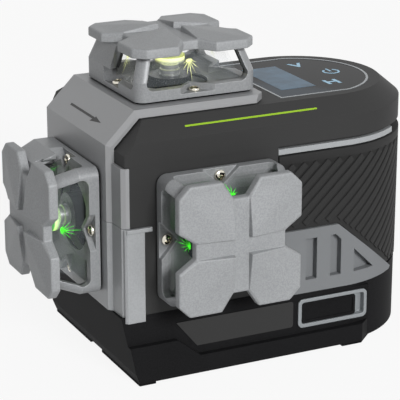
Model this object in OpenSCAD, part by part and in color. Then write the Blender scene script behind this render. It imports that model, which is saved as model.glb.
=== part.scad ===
// Self-levelling cross-plane laser level. Millimetres, +Z up.
// Origin: mouth of the tripod thread, level with the soles of the feet, under the top head.
// +X runs along the body to its rounded grip end. The front head looks along -Y.

/* [Body] */
// Half depth of the body at its widest band
body_half_depth = 41.5; // [41:0.5:44]
// X of the centre of the rounded grip end
round_end_x = 58.5; // [57.5:0.5:62]
// Height of the flat deck with the control panel
deck_z = 104.3; // [104.3:0.1:105]
// Height of the joint between the base and the upper housing
split_z = 28.5; // [28.5:0.1:29]
// Wall thickness of the moulded shells
shell_wall = 2.4; // [2:0.1:2.6]

/* [Heads] */
// Half width of the square cap of each emitter head
cap_half = 26; // [25:0.5:27]
// Height of a head from the body to the rim of its cap
head_height = 22.2; // [22:0.1:24]
// Height of the front and side head axes above the feet
head_axis_z = 59.5; // [58.5:0.5:60]
// Radius of the laser barrel that swings inside each head
barrel_r = 8.5; // [7:0.5:9]

/* [Pendulum] */
// Height of the gimbal pivot above the feet
pivot_z = 86; // [85:0.5:87]
// Radius of a gimbal pin
pin_r = 1.5; // [1.2:0.1:1.6]
// Radius of the damping weight
weight_r = 14; // [11:0.5:14.5]

/* [Lock] */
// Travel of the lock slider along X
lock_travel = 3.6; // [2.6:0.1:3.8]

/* [Mount] */
// Radius of the quarter-inch tripod bore
tripod_r = 3.175; // [3.175:0.001:3.2]
// Depth of the tripod bore
tripod_depth = 8; // [7:0.5:8.5]

/* [Hidden] */
$fn = 64;
eps = 0.01;
gap = 0.05;            // running clearance of pins and pressed inserts
foot_h = 1.2;
band_low = 88.8;       // lower edge of the widest band
band_high = 97.6;      // upper edge of the widest band
deck_half = 33.5;
plate_x = -41.2;       // outer face of the silver left plate
plate_t = 2.9;
plate_right = 27;
plate_half = 30.2;
plate_edge_half = 31.9;
plate_top = deck_z + plate_t + 0.4;
chamfer = 12.2;        // 45 degree shoulder of the silver plate
housing_x = plate_x + 3;
post_z = band_low - 0.2;
guard_top = 64.6;
guard_low = 26.4;
recess_half = body_half_depth - 3.3;   // housing wall under the grip
inner_half = recess_half - shell_wall;
grip_outer = body_half_depth + 0.3;
grip_x = 27.5;
head_hole_r = 15;
gasket_t = 0.8;
flange_half = 25.6;
sill_h = 5;
straight_h = 8.6;
cap_t = 4.5;
cap_rise = 2;
cage_top = head_height - cap_t;
cage_top_scale = 0.875;
head_screw_r = 22.4;   // distance of each head screw from the head axis
ledge_h = 2.6;
front_y = -body_half_depth - 0.2;
door_x0 = 19.5;
door_x1 = 55;
door_hinge_x = 56.9;
door_hinge_y = 39.9;
port_hinge_x = -3.2;
port_hinge_y = 40.5;
port_low = 18.7;
port_high = 27;
weight_z = 16.5;
key_panel_x = 35;
panel_half = 28.5;
panel_r = 30;
panel_cx = 57;
board_z = deck_z - 12;
board_t = 1.6;
board_posts = [[36, -20], [36, 20], [77, 0]];
damper_posts = [[-14, -14], [14, -14], [-14, 14], [14, 14]];
damper_z = 13.4;
chassis_posts = [[-21.5, -24], [-21.5, 24], [24, -24], [24, 24]];
screw_places = [[-21.5, -32], [-21.5, 32], [79, -24.5], [79, 24.5]];
base_wall = 3;
floor_z = foot_h + 2.4;  // top of the base's floor
boss_z = floor_z - 0.6;  // bosses start inside the floor
boss_r = 4.4;
insert_r = 5.4;
lcd_x = [41, 57];
lcd_half = 17.5;
head_shank_r = 1.4;
window_half = 21.6;
open_window = [-window_half, window_half];

// ---------- shared outlines ----------

// Body outline from above: flat left end at x0, half-round right end
module dee(half, x0 = plate_x) {
    translate([x0, -half]) square([round_end_x - x0, 2 * half]);
    translate([round_end_x, 0]) circle(r = half);
}

// Square with rounded corners, centred
module rounded_square(half, r) {
    square([2 * (half - r), 2 * half], center = true);
    square([2 * half, 2 * (half - r)], center = true);
    for (sx = [-1, 1], sy = [-1, 1]) translate([sx * (half - r), sy * (half - r)]) circle(r = r);
}

// Rectangle from two corners with rounded corners
module rounded_rect(x0, y0, x1, y1, r) {
    translate([x0 + r, y0]) square([x1 - x0 - 2 * r, y1 - y0]);
    translate([x0, y0 + r]) square([x1 - x0, y1 - y0 - 2 * r]);
    for (x = [x0 + r, x1 - r], y = [y0 + r, y1 - r]) translate([x, y]) circle(r = r);
}

// Solid with an outline in X and Z, drawn from y0 to y1
module side_extrude(y0, y1) {
    translate([0, y1, 0]) rotate([90, 0, 0]) linear_extrude(y1 - y0) children();
}

// Both mirror images across the XZ plane
module both_sides() {
    children();
    mirror([0, 1, 0]) children();
}

// Box from its lowest and highest corners
module span(a, b) {
    translate(a) cube(b - a);
}

// ---------- base ----------

// Profile of the base seen from the front: its left wall leans in towards the feet
module base_profile(inset = 0) {
    polygon([[-34 + inset, foot_h], [-35.5 + inset, 5], [plate_x + 0.9 + inset, split_z],
        [110, split_z], [110, foot_h]]);
}

module skid_outline(inset = 0) {
    polygon([[-42, -44.2 + inset], [66, -44.2 + inset], [91.2 - inset, -21], [95.2 - inset, -10],
        [95.2 - inset, 10], [91.2 - inset, 21], [66, 44.2 - inset], [-42, 44.2 - inset]]);
}

// Raised skid: high at the left corners, stepping down along a slope
module skid_profile() {
    polygon([[-42, 0], [-42, 16.6], [-17.6, 16.6], [-7.8, 8.6], [99, 8.6], [99, 0]]);
}

module base_outer() {
    intersection() {
        side_extrude(-60, 60) base_profile();
        union() {
            linear_extrude(split_z) dee(body_half_depth);
            intersection() {
                linear_extrude(17) skid_outline();
                side_extrude(-60, 60) skid_profile();
            }
            span([60, -body_half_depth, 9.5], [70.2, -38, 24.5]);
        }
    }
}

module base_shell() color("#1b1b1c") difference() {
    union() {
        difference() {
            base_outer();
            intersection() {
                translate([0, 0, floor_z]) linear_extrude(split_z)
                    dee(body_half_depth - base_wall, -50);
                side_extrude(-60, 60) base_profile(2.6);
            }
        }
        for (p = screw_places) translate([p[0], p[1], boss_z])
            cylinder(r = boss_r, h = split_z - boss_z);
        cylinder(r = 8, h = 10.5);
        for (p = damper_posts) translate([p[0], p[1], boss_z])
            cylinder(r = 2.2, h = damper_z - gap - boss_z);
        lock_guide();
        battery_tray();
        port_block();
    }
    for (p = screw_places) translate([p[0], p[1], 0]) {
        cylinder(r = 1.7, h = 60);
        cylinder(r = 3.4, h = 6);
    }
    translate([0, 0, -1]) cylinder(r = insert_r + gap, h = 10 + gap);
    // opening for the lock slider
    span([37.7, -45, 11.7], [68.1, -38, 22.3]);
    // battery opening, hinge pocket and pin hole in the rear wall
    span([door_x0 - 0.3, 37, 9], [door_x1 + 0.6, 45, 26]);
    span([door_x1 + 0.4, 37, 9], [door_hinge_x + 2, 45, 26]);
    translate([door_hinge_x, door_hinge_y, 6]) cylinder(r = 0.8 + gap, h = 30);
    // charging socket opening and its cover's pocket
    span([-19.3, 39.95, port_low], [port_hinge_x + 1.5, 50, port_high]);
    span([port_hinge_x - 1.4, 39.2, port_low], [port_hinge_x + 1.5, 50, port_high]);
    span([-16, 35, 20.4], [-7, 45, 25.4]);
    translate([port_hinge_x, port_hinge_y, 17]) cylinder(r = 0.6 + gap, h = 30);
    // recesses of the front-left facet
    for (s = [-1, 1]) translate([-38.6, s * 47, 9]) rotate([0, 0, 45])
        cube([5, 5, 30], center = true);
}

// Bridge that guides the lock plunger under the damping weight
module lock_guide() {
    difference() {
        union() {
            span([-9, -14.6, 3], [-7.2, -8.4, 12.4]);
            span([7.2, -14.6, 3], [9, -8.4, 12.4]);
            span([-9, -14.6, 10], [9, -8.4, 12.4]);
        }
        translate([0, -11.5, 0]) cylinder(r = 2 + gap, h = 20);
    }
}

// Rails that the battery pack slides between
module battery_tray() {
    span([18.4, -28, 3], [20.2, 36, 12]);
    span([54.3, -28, 3], [56, 36, 12]);
    span([19, -28, 3], [55, -26.4, 20]);
    span([20.2, -26.4, 3], [54.3, 37, 9]);
}

// Thickened wall that holds the charging socket
module port_block() {
    span([-20.5, 35.2, 17.2], [port_hinge_x + 3, 40.5, 28.3]);
}

module rubber_feet() color("#111112") linear_extrude(foot_h) intersection() {
    skid_outline(0.6);
    both_sides() {
        translate([-34, -60]) square([7, 54.2]);
        translate([57, -60]) square([26, 25.5]);
    }
}

module tripod_insert() color("#b9963f") difference() {
    cylinder(r = insert_r, h = tripod_depth + 1);
    translate([0, 0, -eps]) cylinder(r = tripod_r, h = tripod_depth + eps);
}

// ---------- upper housing ----------

// Tapered shoulder between the widest band and the deck
module shoulder(low_half, high_half, z0, z1) {
    translate([round_end_x, 0, z0]) cylinder(r1 = low_half, r2 = high_half, h = z1 - z0, $fn = 96);
    translate([plate_x, 0, 0]) rotate([90, 0, 90]) linear_extrude(round_end_x - plate_x)
        polygon([[-low_half, z0], [low_half, z0], [high_half, z1], [-high_half, z1]]);
}

module housing_side_profile(x0 = housing_x, top = deck_z) {
    slope = chamfer - 3 * (sqrt(2) - 1);
    polygon([[x0, split_z], [x0, top - slope + 0.2], [x0 + slope - 0.2, top], [110, top],
        [110, split_z]]);
}

// Chamfer of the rear left corner, over the silver frame and the housing alike
module rear_corner_cut(grow = 0) {
    linear_extrude(200) translate([grow, -grow]) polygon([[plate_x - 1, 31.2], [plate_x - 1, 60],
        [-13.4, 60]]);
}

module housing_shell() difference() {
    union() {
        intersection() {
            side_extrude(-60, 60) housing_side_profile();
            union() {
                translate([0, 0, split_z]) linear_extrude(band_low - split_z)
                    dee(recess_half, housing_x);
                // front and rear pads left of the grip
                translate([0, 0, split_z]) linear_extrude(band_low - split_z)
                    translate([housing_x + 1.9, -body_half_depth + 0.2])
                    square([grip_x - housing_x - 2.2, 2 * body_half_depth - 0.4]);
                translate([0, 0, 87.9]) linear_extrude(band_low - 87.9) dee(body_half_depth - 1.3);
                translate([0, 0, band_low]) linear_extrude(band_high - band_low)
                    dee(body_half_depth);
                shoulder(body_half_depth, deck_half, band_high, deck_z);
            }
        }
        // raised pad that seals against the front head
        span([-23, front_y, head_axis_z - 23], [23, -38, head_axis_z + 23]);
    }
    // inside
    intersection() {
        side_extrude(-60, 60) housing_side_profile(housing_x + shell_wall, deck_z - shell_wall);
        union() {
            translate([0, 0, split_z - 1]) linear_extrude(90 - split_z) dee(inner_half, housing_x);
            translate([0, 0, 88]) linear_extrude(band_high - 88.1) dee(inner_half + 1, housing_x);
            shoulder(inner_half + 1, deck_half - 3, band_high - 0.2, deck_z - shell_wall);
        }
    }
    // head openings
    translate([0, 0, 90]) cylinder(r = head_hole_r, h = 40);
    translate([0, -20, head_axis_z]) rotate([90, 0, 0]) cylinder(r = head_hole_r, h = 40);
    translate([-20, 0, head_axis_z]) rotate([0, -90, 0]) cylinder(r = head_hole_r, h = 40);
    // pocket for the control panel
    translate([0, 0, deck_z - 1.4]) linear_extrude(3) panel_outline(0.05);
    translate([38, -12, deck_z - 6]) cube([14, 24, 10]);
    at_front() head_screw_bores();
    // room for the silver frame's corner posts
    both_sides() span([housing_x - 1, -60, 87],
        [housing_x + 1.9, -recess_half - 0.05, post_z + 0.1]);
    rear_corner_cut(0.1);
    // countersunk holes for the screws that hang the chassis, under the silver plate
    for (p = chassis_posts) translate([p[0], p[1], 0]) {
        translate([0, 0, deck_z - 6]) cylinder(r = 1.3, h = 10);
        translate([0, 0, deck_z - 1.5]) cylinder(r = 2.7, h = 4);
    }
}

// Deck outline of the control panel: straight left edge, round right end
module panel_outline(grow = 0) {
    intersection() {
        translate([key_panel_x - grow, -panel_half - grow])
            square([60, 2 * (panel_half + grow)]);
        union() {
            translate([key_panel_x - grow, -40]) square([panel_cx - key_panel_x + grow, 80]);
            translate([panel_cx, 0]) circle(r = panel_r + grow);
        }
    }
}

// Bosses inside the housing: four take the long screws, three carry the main board
module housing_bosses() {
    intersection() {
        for (p = screw_places) translate([p[0], p[1], split_z]) cylinder(r = boss_r, h = 15);
        translate([0, 0, split_z]) linear_extrude(20) dee(recess_half - 0.5, housing_x + 1);
    }
    for (p = board_posts) translate([p[0], p[1], board_z + board_t + gap])
        cylinder(r = 2.6, h = deck_z - shell_wall - board_z - board_t);
}

module upper_housing() color("#1d1d1e") difference() {
    union() {
        housing_shell();
        housing_bosses();
    }
    for (p = screw_places) translate([p[0], p[1], 0]) cylinder(r = 1.25, h = 45);
    for (p = board_posts) translate([p[0], p[1], board_z]) cylinder(r = 1.1 + gap, h = 8);
}

// ---------- silver frame ----------

// Plan of the frame's left wall with its corner posts
module frame_plan() {
    half = [[plate_x, plate_half], [plate_x + 1.6, plate_edge_half], [plate_x + 1.9, 39.9],
        [plate_x + 3.4, body_half_depth]];
    polygon(concat(half, [[housing_x + 1.8, body_half_depth], [housing_x + 1.8, recess_half + 0.1],
        [housing_x - 0.1, recess_half + 0.1], [housing_x - 0.1, -recess_half - 0.1],
        [housing_x + 1.8, -recess_half - 0.1],
        [housing_x + 1.8, -body_half_depth]],
        [for (i = [len(half) - 1:-1:0]) [half[i][0], -half[i][1]]]));
}

// Bent plate: left face, 45 degree shoulder and top face
module plate_profile() {
    // z - x along the inner line of the shoulder
    inner = plate_top - chamfer - plate_x - plate_t * sqrt(2);
    polygon([[plate_x, guard_top + 0.2], [plate_x, plate_top - chamfer],
        [plate_x + chamfer, plate_top], [plate_right, plate_top],
        [plate_right, plate_top - plate_t], [plate_top - plate_t - inner, plate_top - plate_t],
        [plate_x + plate_t, plate_x + plate_t + inner], [plate_x + plate_t, guard_top + 0.2]]);
}

// Wedge that bevels one long edge of a plate lying in z <= 0, along X from 0 to len
module edge_wedge(len) {
    rotate([90, 0, 90]) linear_extrude(len)
        polygon([[plate_half, eps], [plate_edge_half + eps, -1.6], [40, -1.6], [40, 1],
            [plate_half, 1]]);
}

module end_frame() color("#8f9193") difference() {
    union() {
        side_extrude(-plate_edge_half, plate_edge_half) plate_profile();
        translate([0, 0, guard_top + 0.2]) linear_extrude(post_z - guard_top - 0.2) frame_plan();
    }
    both_sides() {
        translate([plate_x + chamfer - 0.6, 0, plate_top]) edge_wedge(80);
        translate([plate_x, 0, plate_top - chamfer]) rotate([0, -45, 0])
            translate([-0.4, 0, 0]) edge_wedge(chamfer * sqrt(2) + 0.8);
        translate([plate_x, 0, 60]) rotate([0, -90, 0]) edge_wedge(plate_top - chamfer - 60 + 0.6);
        // cut corners of the plate's right end
        translate([plate_right, plate_edge_half + 0.4, 100]) rotate([0, 0, 45])
            cube([7, 7, 40], center = true);
    }
    translate([0, 0, 90]) cylinder(r = head_hole_r, h = 40);
    translate([-20, 0, head_axis_z]) rotate([0, -90, 0]) cylinder(r = head_hole_r, h = 40);
    at_top() head_screw_bores();
    at_side() head_screw_bores();
    rear_corner_cut();
}

module lower_guard() color("#989a9c") difference() {
    union() {
        translate([0, 0, split_z + 0.1]) linear_extrude(guard_top - split_z - 0.1) frame_plan();
        // flat panel over the front corner, with a short lip along its top
        span([plate_x + 2.4, -body_half_depth - 1.1, guard_low],
            [-30.7, -body_half_depth, guard_top]);
        span([plate_x + 2.4, -body_half_depth - 1.5, guard_top - 1.6],
            [-27.6, -body_half_depth, guard_top]);
    }
    translate([-20, 0, head_axis_z]) rotate([0, -90, 0]) cylinder(r = head_hole_r, h = 40);
    at_side() head_screw_bores();
    translate([plate_x + 2.4, -body_half_depth - 1.1, 0]) rotate([0, 0, 45])
        cube([1.4, 1.4, 300], center = true);
    rear_corner_cut();
}

// ---------- outer trim ----------

// Band that follows the body's outline, right of x0, between two offsets
module wrap_band(inner, outer, x0) {
    intersection() {
        difference() {
            dee(outer);
            dee(inner, -60);
        }
        translate([x0, -60]) square([200, 120]);
    }
}

// Outline of the vent bracket as seen from the front
module vent_outline(grow = 0) {
    polygon([[grip_x - 0.2, 25.9 - grow], [grip_x - 0.2, 53 + grow], [54.8 + grow / 2, 53 + grow],
        [86 + grow, 26.8], [85 + grow, 25.9 - grow]]);
}

module vent_slots() {
    rotate([90, 0, 0]) linear_extrude(100) {
        translate([39.9, 31.4]) square([5.1, 17.5]);
        polygon([[51.2, 31.4], [56.2, 31.4], [56.2, 46.4], [53.8, 48.9], [51.2, 48.9]]);
        polygon([[62.4, 31.4], [72.9, 31.4], [62.4, 41.4]]);
    }
}

module grip_sleeve() color("#232324") difference() {
    translate([0, 0, 29.2]) linear_extrude(84.6 - 29.2)
        wrap_band(recess_half + 0.1, grip_outer, grip_x);
    both_sides() side_extrude(-60, 0) vent_outline(0.25);
}

module side_vents() color("#75797b") both_sides() difference() {
    intersection() {
        linear_extrude(80) wrap_band(recess_half + 0.1, grip_outer + 0.3, grip_x - 0.2);
        side_extrude(-60, -10) vent_outline();
        union() {
            span([0, -60, split_z + 0.1], [200, 0, 80]);
            linear_extrude(split_z + 0.2) wrap_band(body_half_depth + 0.05, grip_outer + 0.3, 0);
        }
    }
    intersection() {
        vent_slots();
        difference() {
            span([0, -60, 0], [200, 0, 80]);
            linear_extrude(80) dee(recess_half + 0.9);
        }
    }
}

module accent_strips() color("#a7a9ab") both_sides() translate([0, 0, 85.3]) linear_extrude(2.2)
    intersection() {
        wrap_band(recess_half + 0.1, body_half_depth - 0.2, grip_x - 0.2);
        translate([0, -60]) square([84.5, 60]);
    }

module label_plate() color("#0c0c0d") translate([0, -body_half_depth, 0])
    rotate([90, 0, 0]) linear_extrude(0.35) difference() {
        rounded_rect(-20, 11.9, 34.7, 23, 1.2);
        polygon([[-21, 25], [-19, 25], [-8.2, 11.8], [-8.2, 10], [-21, 10]]);
    }

// ---------- deck ----------

module control_panel() color("#15181b") difference() {
    translate([0, 0, deck_z - 1.3]) linear_extrude(1.25) panel_outline(-1);
    span([lcd_x[0], -lcd_half, deck_z - 0.5], [lcd_x[1], lcd_half, deck_z + 3]);
}

module panel_trim() color("#7d8286") translate([0, 0, deck_z - 1.3]) linear_extrude(1.4)
    difference() {
        panel_outline(0);
        panel_outline(-0.95);
    }

module lcd_window() color("#7fa9c4") span([lcd_x[0] + gap, gap - lcd_half, deck_z - 0.45],
    [lcd_x[1] - gap, lcd_half - gap, deck_z]);

module main_board() color("#1f5a3a") {
    difference() {
        translate([0, 0, board_z]) linear_extrude(board_t) intersection() {
            dee(29.5, 32);
            translate([32, -29.5]) square([52, 59]);
        }
        for (p = board_posts) translate([p[0], p[1], 80]) cylinder(r = 1.2, h = 30);
    }
    span([40, -11, board_z + board_t - eps], [50, 11, deck_z - 3.2]);
}

// ---------- fasteners ----------

// Screw with a cross recess: its head stands on z = 0 and its shank hangs below
module cross_screw(head_r, head_t, shank_r, length) {
    difference() {
        cylinder(r = head_r, h = head_t);
        translate([0, 0, 0.55 * head_t]) for (a = [0, 90]) rotate([0, 0, a])
            translate([-0.65 * head_r, -0.13 * head_r, 0])
            cube([1.3 * head_r, 0.26 * head_r, head_t]);
    }
    translate([0, 0, -length]) cylinder(r = shank_r, h = length + 0.1);
}

// Four long screws from below that hold the base to the housing
module housing_screws() color("#9a9c9e") for (p = screw_places)
    translate([p[0], p[1], 5.95]) mirror([0, 0, 1]) cross_screw(3, 2.6, 1.2, 32);

// Three screws from below that hold the main board to its posts
module board_screws() color("#9a9c9e") for (p = board_posts)
    translate([p[0], p[1], board_z - gap]) mirror([0, 0, 1]) cross_screw(2, 1.4, 1.1, 6.5);

// Four screws in the deck that hang the chassis
module chassis_screws() color("#9a9c9e") for (p = chassis_posts)
    translate([p[0], p[1], deck_z - 1.45]) cross_screw(2.5, 1.4, 1.2, 8);

// ---------- gimbal and pendulum ----------

module chassis() color("#6d7073") difference() {
    union() {
        translate([-24.5, -28, pivot_z + 7]) cube([52, 56, 3]);
        for (p = chassis_posts) translate([p[0], p[1], pivot_z + 9])
            cylinder(r = 2.8, h = deck_z - shell_wall - gap - pivot_z - 9);
        for (s = [-1, 1]) translate([s * 22.5 - 2, -5, pivot_z - 5]) cube([4, 10, 13]);
    }
    translate([0, 0, pivot_z]) cylinder(r = 17, h = 40);
    translate([-40, 0, pivot_z]) rotate([0, 90, 0]) cylinder(r = pin_r + gap, h = 80);
    for (p = chassis_posts) translate([p[0], p[1], pivot_z + 8.5]) cylinder(r = 1.2 + gap, h = 20);
}

module gimbal_ring() color("#85888b") difference() {
    translate([0, 0, pivot_z - 3]) cylinder(r = 18.6, h = 6);
    translate([0, 0, pivot_z - 4]) cylinder(r = 14.6, h = 8);
    translate([-40, 0, pivot_z]) rotate([0, 90, 0]) cylinder(r = pin_r + gap, h = 80);
    translate([0, 40, pivot_z]) rotate([90, 0, 0]) cylinder(r = pin_r + gap, h = 80);
}

module gimbal_pins() color("#c9cbcd") for (s = [0, 180]) rotate([0, 0, s])
    translate([15, 0, pivot_z]) rotate([0, 90, 0]) cylinder(r = pin_r, h = 9.4);

module pendulum_pins() color("#c9cbcd") for (s = [90, 270]) rotate([0, 0, s])
    translate([6.2, 0, pivot_z]) rotate([0, 90, 0]) cylinder(r = pin_r, h = 12);

module pendulum_body() color("#55585b") difference() {
    union() {
        translate([0, 0, 72]) cylinder(r = 10, h = 20);
        translate([-14, -14, head_axis_z - 13]) cube([28, 28, 32]);
        translate([0, 0, weight_z + 12]) cylinder(r = 6, h = head_axis_z - 13 - weight_z - 11);
    }
    for (s = [90, 270]) rotate([0, 0, s]) translate([6, 0, pivot_z]) rotate([0, 90, 0])
        cylinder(r = pin_r + gap, h = 12);
    for (a = [0, 90]) rotate([0, 0, a]) translate([4, 0, head_axis_z - 5]) rotate([0, 90, 0])
        cylinder(r = 1.3, h = 14);
}

module counterweight() color("#b08d45") translate([0, 0, weight_z]) cylinder(r = weight_r, h = 12);

module trim_screws() color("#c9cbcd") for (a = [0, 90]) rotate([0, 0, a])
    translate([6, 0, head_axis_z - 5]) rotate([0, 90, 0]) cylinder(r = 1.2, h = 13);

module damper_plate() color("#3d3f42") difference() {
    translate([-17, -17, damper_z]) cube([34, 34, 1.6]);
    translate([0, -11.5, 0]) cylinder(r = 3, h = 30);
}

// ---------- lock ----------

module lock_bezel() color("#8d9193") union() {
    side_extrude(-body_half_depth - 0.6, -body_half_depth - 0.02) difference() {
        rounded_rect(37, 10.9, 68.9, 23.1, 2.2);
        rounded_rect(38.5, 12.4, 67.6, 21.7, 1.2);
    }
    side_extrude(-body_half_depth - 0.02, -39.4) difference() {
        rounded_rect(37.8, 11.8, 68, 22.2, 1.6);
        rounded_rect(38.5, 12.4, 67.6, 21.7, 1.2);
    }
    side_extrude(-39.4, -38.2) difference() {
        rounded_rect(37.8, 11.8, 68, 22.2, 1.6);
        translate([47.6, 15]) square([4.8 + lock_travel, 4]);
    }
}

// Slider knob with the bar and wedge that lift the plunger
module lock_knob() color("#1a1a1b") {
    difference() {
        side_extrude(-body_half_depth - 0.4, -39.5) rounded_rect(38.8, 12.7, 63.6, 21.4, 1);
        side_extrude(-body_half_depth - 1, -body_half_depth)
            rounded_rect(40, 13.8, 62.4, 20.3, 0.6);
    }
    span([48, -39.6, 15.3], [52, -33, 18.7]);
    span([48, -36, 4.1], [52, -33, 18.7]);
    span([-3, -36, 4.1], [52, -33, 5.4]);
    span([-3, -36, 4.1], [3, -9.4, 5.4]);
    side_extrude(-13.4, -9.4) polygon([[-6.4, 4.1], [3, 4.1], [-2, 6.6], [-6.4, 9.24]]);
}

module lock_plunger() color("#b9bbbd") translate([0, -11.5, 7.1]) cylinder(r = 2, h = 6.2);

// ---------- power ----------

module battery_pack() color("#2e4f7a") difference() {
    span([20.6, -26.2, 9.1], [53.9, 36.4, 25.6]);
    for (x = [26, 46]) translate([x, -27, 17]) cube([5, 2.4, 5], center = true);
}

module battery_contacts() color("#c8a24a") for (x = [26, 46])
    span([x - 1.5, -26.3, 15.5], [x + 1.5, -25.9, 18.5]);

module battery_door() color("#202021") difference() {
    union() {
        span([door_x0, 38.7, 9.2], [door_hinge_x - 0.9, body_half_depth, 25.8]);
        translate([door_hinge_x, door_hinge_y, 9.2]) cylinder(r = 1.5, h = 16.6);
        span([door_x0 + 2, 36.8, 12], [door_x0 + 3.4, 39, 23]);
    }
    translate([door_hinge_x, door_hinge_y, 0]) cylinder(r = 0.8 + gap, h = 60);
    span([door_x0 - 1, body_half_depth - 0.6, 15], [door_x0 + 3, 45, 20]);
}

module door_pin() color("#c9cbcd") translate([door_hinge_x, door_hinge_y, 7]) cylinder(r = 0.8, h = 20.8);

module charge_socket() color("#9b9da0") difference() {
    span([-15.9, 31, 20.5], [-7.1, 39.9, 25.3]);
    span([-15.2, 34, 21.3], [-7.8, 41, 24.5]);
}

module port_cover() color("#161617") difference() {
    union() {
        span([-19.1, 40.3, port_low + 0.2],
            [port_hinge_x - 0.7, body_half_depth + 0.1, port_high - 0.2]);
        translate([port_hinge_x, port_hinge_y, port_low + 0.2])
            cylinder(r = 1, h = port_high - port_low - 0.4);
    }
    translate([port_hinge_x, port_hinge_y, 10]) cylinder(r = 0.6 + gap, h = 30);
}

module port_pin() color("#c9cbcd") translate([port_hinge_x, port_hinge_y, 17.2])
    cylinder(r = 0.6, h = 11);

// ---------- emitter heads ----------

// Places a head that is drawn with its base on z = 0 and its cap towards +Z
module at_top() { translate([0, 0, plate_top + 0.05]) children(); }
module at_front() { translate([0, front_y - 0.05, head_axis_z]) rotate([90, 0, 0]) children(); }
module at_side() { translate([plate_x - 0.05, 0, head_axis_z]) rotate([0, -90, 0]) children(); }

// Blind holes that a head's four screws go into
module head_screw_bores() {
    for (a = [0:90:270]) rotate([0, 0, a]) translate([head_screw_r, 0, -1.2])
        cylinder(r = head_shank_r + gap, h = 3);
}

module head_gasket() color("#0e0e0f") linear_extrude(gasket_t) difference() {
    rounded_square(flange_half - 1, 3.2);
    circle(r = head_hole_r);
    for (a = [0:90:270]) rotate(a) translate([head_screw_r, 0]) circle(r = 1.5);
}

// Clover outline of the cap: cut corners and a notch in the middle of each side
module cap_outline(half, corner, notch_top, notch_bottom, depth) {
    quarter = [[half - corner, half], [notch_top, half], [notch_bottom, half - depth],
        [-notch_bottom, half - depth], [-notch_top, half], [corner - half, half]];
    polygon([for (a = [0:90:270]) for (p = quarter)
        [p[0] * cos(a) - p[1] * sin(a), p[0] * sin(a) + p[1] * cos(a)]]);
}

// A window's edge leans in with the cage; the edge of a half shield stands straight
function window_lean(y) = abs(y) < 5 ? y : 0.85 * y;

// Window between two corner pillars, drawn for the side towards +X
module window_cut(y0, y1) {
    rotate([90, 0, 90]) linear_extrude(40) {
        polygon([[y0, sill_h + 3], [y1, sill_h + 3], [window_lean(y1), cage_top],
            [window_lean(y0), cage_top]]);
        translate([y0 + 3, sill_h]) square([y1 - y0 - 6, 4]);
        for (y = [y0 + 3, y1 - 3]) translate([y, sill_h + 3]) circle(r = 3);
    }
}

// windows: for each side, in quarter turns from +X, where its window starts and ends
module head_frame(windows = [open_window, open_window, open_window, open_window])
    color("#9fa1a3") difference() {
    union() {
        translate([0, 0, gasket_t]) linear_extrude(straight_h - gasket_t)
            rounded_square(flange_half, 4);
        translate([0, 0, straight_h]) linear_extrude(cage_top - straight_h, scale = cage_top_scale)
            rounded_square(flange_half, 4);
    }
    translate([0, 0, -1]) cylinder(r = head_hole_r, h = 20);
    // funnel inside the flange, then the open cage above it
    difference() {
        translate([0, 0, 1.6]) linear_extrude(3.6, scale = 22.2 / 16) square(32, center = true);
        for (a = [0:90:270]) rotate([0, 0, a]) translate([0, 0, -1]) linear_extrude(sill_h + 1)
            polygon([[26, -10], [26, 10], [17, 0]]);
    }
    translate([0, 0, sill_h]) linear_extrude(30, scale = 0.62) square(44, center = true);
    for (i = [0:3]) rotate([0, 0, 90 * i]) {
        window_cut(windows[i][0], windows[i][1]);
        // triangular ledge and hole for the screw
        translate([0, 0, ledge_h]) linear_extrude(6) polygon([[27, -9], [27, 9], [19, 0]]);
        translate([head_screw_r, 0, -1]) cylinder(r = 1.5, h = 20);
    }
}

module head_cap() color("#b4b6b8") {
    translate([0, 0, cage_top + 0.05]) linear_extrude(cap_t - 1.05)
        cap_outline(cap_half, 4.6, 7.9, 3.1, 7);
    translate([0, 0, head_height - 1.05]) linear_extrude(1.05, scale = (cap_half - 1.2) / cap_half)
        cap_outline(cap_half, 4.6, 7.9, 3.1, 7);
    // four lobes that rise to a soft ridge beside the centre channel
    for (a = [0:90:270]) rotate([0, 0, a]) translate([3.4, 3.4, head_height - 0.1])
        linear_extrude(cap_rise + 0.1, scale = 0.3) polygon([[0, 0], [14, 0.4], [20.6, 5],
            [20.6, 17], [17, 20.6], [5, 20.6], [0.4, 14]]);
}

module head_screws() color("#cfc8b4") for (a = [0:90:270]) rotate([0, 0, a])
    translate([head_screw_r, 0, ledge_h + 0.02]) cross_screw(2.3, 1.7, head_shank_r, ledge_h + 1);

// Four leaning glass panes in one pyramid-shaped lantern
module window_glass() color([0.75, 0.85, 0.88, 0.35]) translate([0, 0, sill_h + 0.05])
    difference() {
        linear_extrude(cage_top - sill_h - 0.3, scale = 0.80) square(41, center = true);
        translate([0, 0, -0.01]) linear_extrude(cage_top - sill_h - 0.28, scale = 0.80)
            square(38.6, center = true);
    }

// Drawn along the head's own axis, from inside the body outwards
module laser_barrel(reach) color("#17181a") difference() {
    translate([0, 0, -reach]) cylinder(r = barrel_r, h = reach + 4);
    translate([0, 0, -1]) cylinder(r = 4.2, h = 20);
}

module lens_cell() color("#8b8e92") difference() {
    translate([0, 0, -0.9]) cylinder(r = 4.1, h = 9.4);
    translate([0, 0, 7]) cylinder(r = 3, h = 3);
}

// Glass tube that carries a reflecting cone, point down, over the lens
module cone_mirror() color("#dfe3e6") {
    translate([0, 0, 4.05]) difference() {
        cylinder(r = 5.9, h = 7);
        translate([0, 0, -1]) cylinder(r = 5, h = 9);
    }
    translate([0, 0, 8.7]) cylinder(r1 = 0.3, r2 = 2.7, h = 2.41);
    translate([0, 0, 11.1]) cylinder(r = 5.9, h = 1.01);
    translate([0, 0, 12.1]) cylinder(r1 = 5.4, r2 = 4.2, h = 2);
}

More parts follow.
